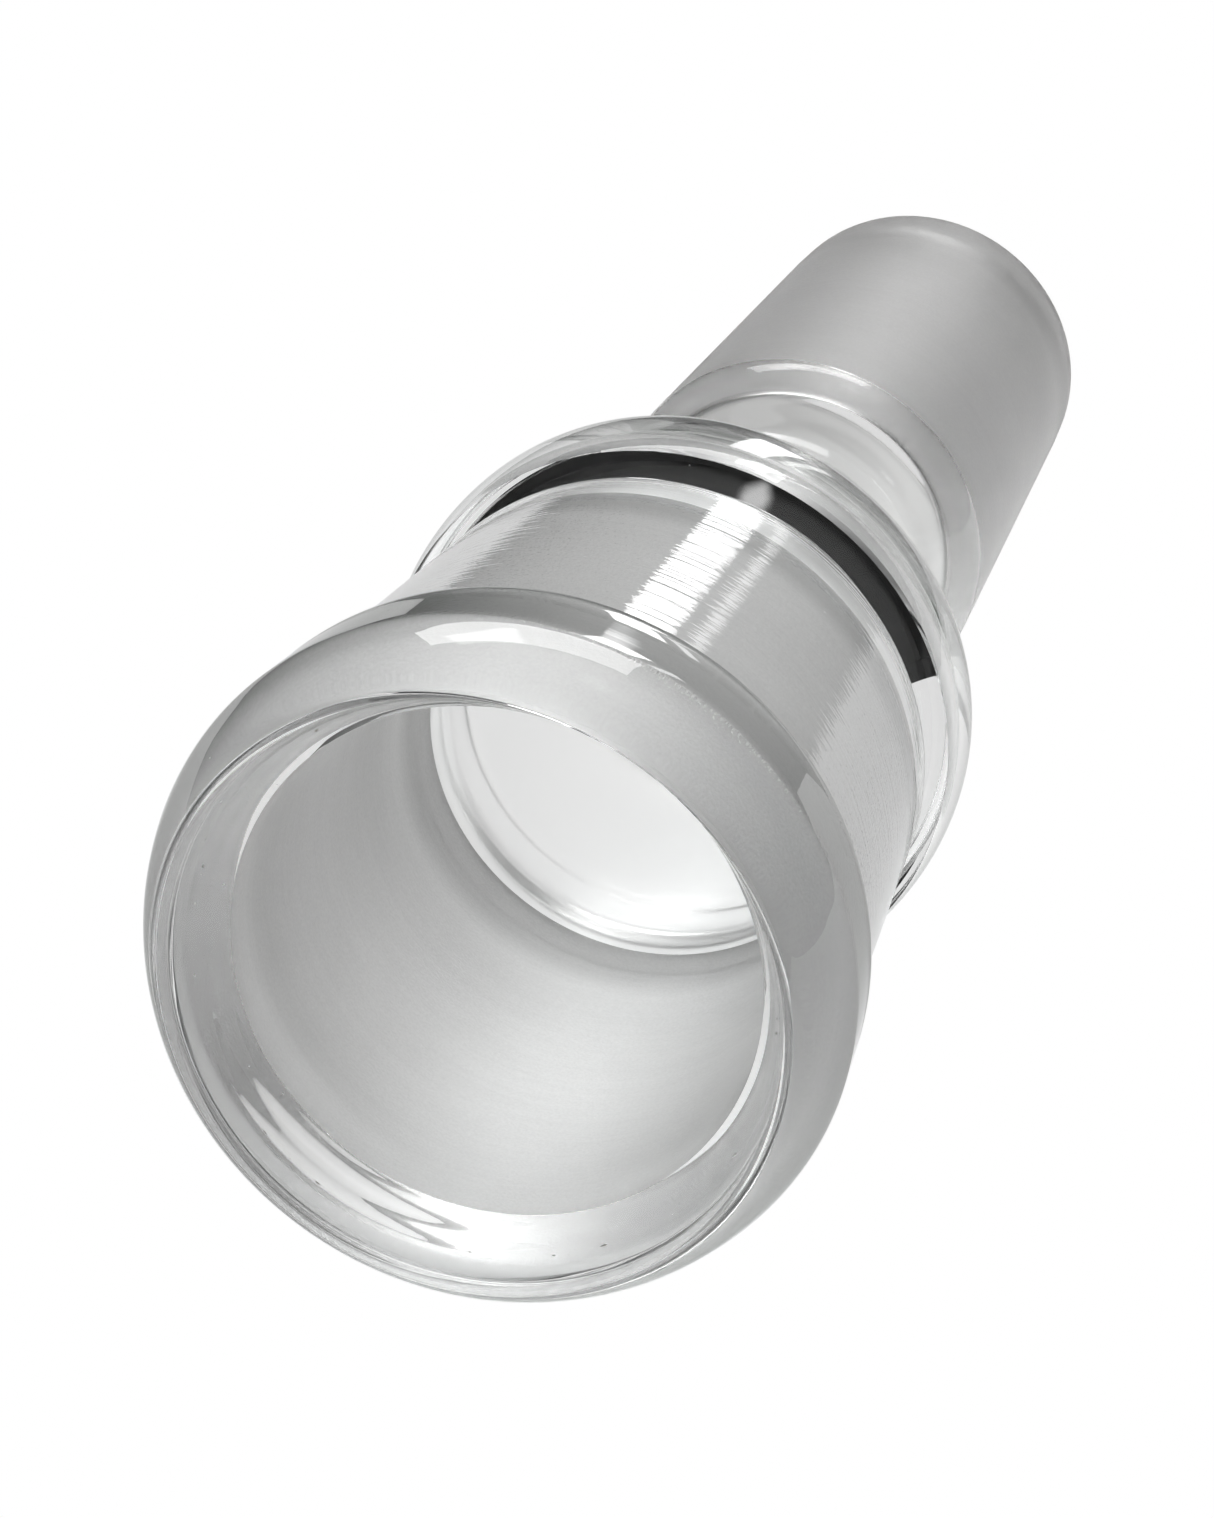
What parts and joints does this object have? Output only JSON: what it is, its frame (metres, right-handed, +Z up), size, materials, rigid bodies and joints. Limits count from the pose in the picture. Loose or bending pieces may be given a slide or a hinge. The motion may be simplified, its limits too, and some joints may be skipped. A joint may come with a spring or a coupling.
{
  "type": "ground glass joint adapter",
  "caption": "Clear glass tapered joint adapter with a wide ground socket, a rolled rim and support ring, a narrow neck and a smaller ground cone.",
  "frame": {"origin": "centre of the socket's mouth, on the plane of the land round it", "axes": "+Y along the joint's axis from the mouth towards the cone's tip; +Z up with the adapter lying on its side; +X across"},
  "size_m": [0.025, 0.0623, 0.025],
  "materials": {
    "rim_glass": "clear, fire-polished outside, ground inside",
    "socket_glass": "clear outside with fine lathe lines, ground matt bore",
    "shoulder_glass": "clear, fire-polished",
    "ring_glass": "clear, fire-polished",
    "neck_glass": "clear, fire-polished",
    "flare_glass": "clear, fire-polished",
    "ground_glass": "ground, fine satin frost",
    "tip_glass": "ground, softened by the flame"
  },
  "bodies": {
    "root": {"rim_bead": "rim_glass", "socket_tube": "socket_glass", "socket_shoulder": "shoulder_glass", "support_ring": "ring_glass", "neck_tube": "neck_glass", "cone_shoulder": "flare_glass", "ground_cone": "ground_glass", "tip_rim": "tip_glass"}
  },
  "joints": []
}
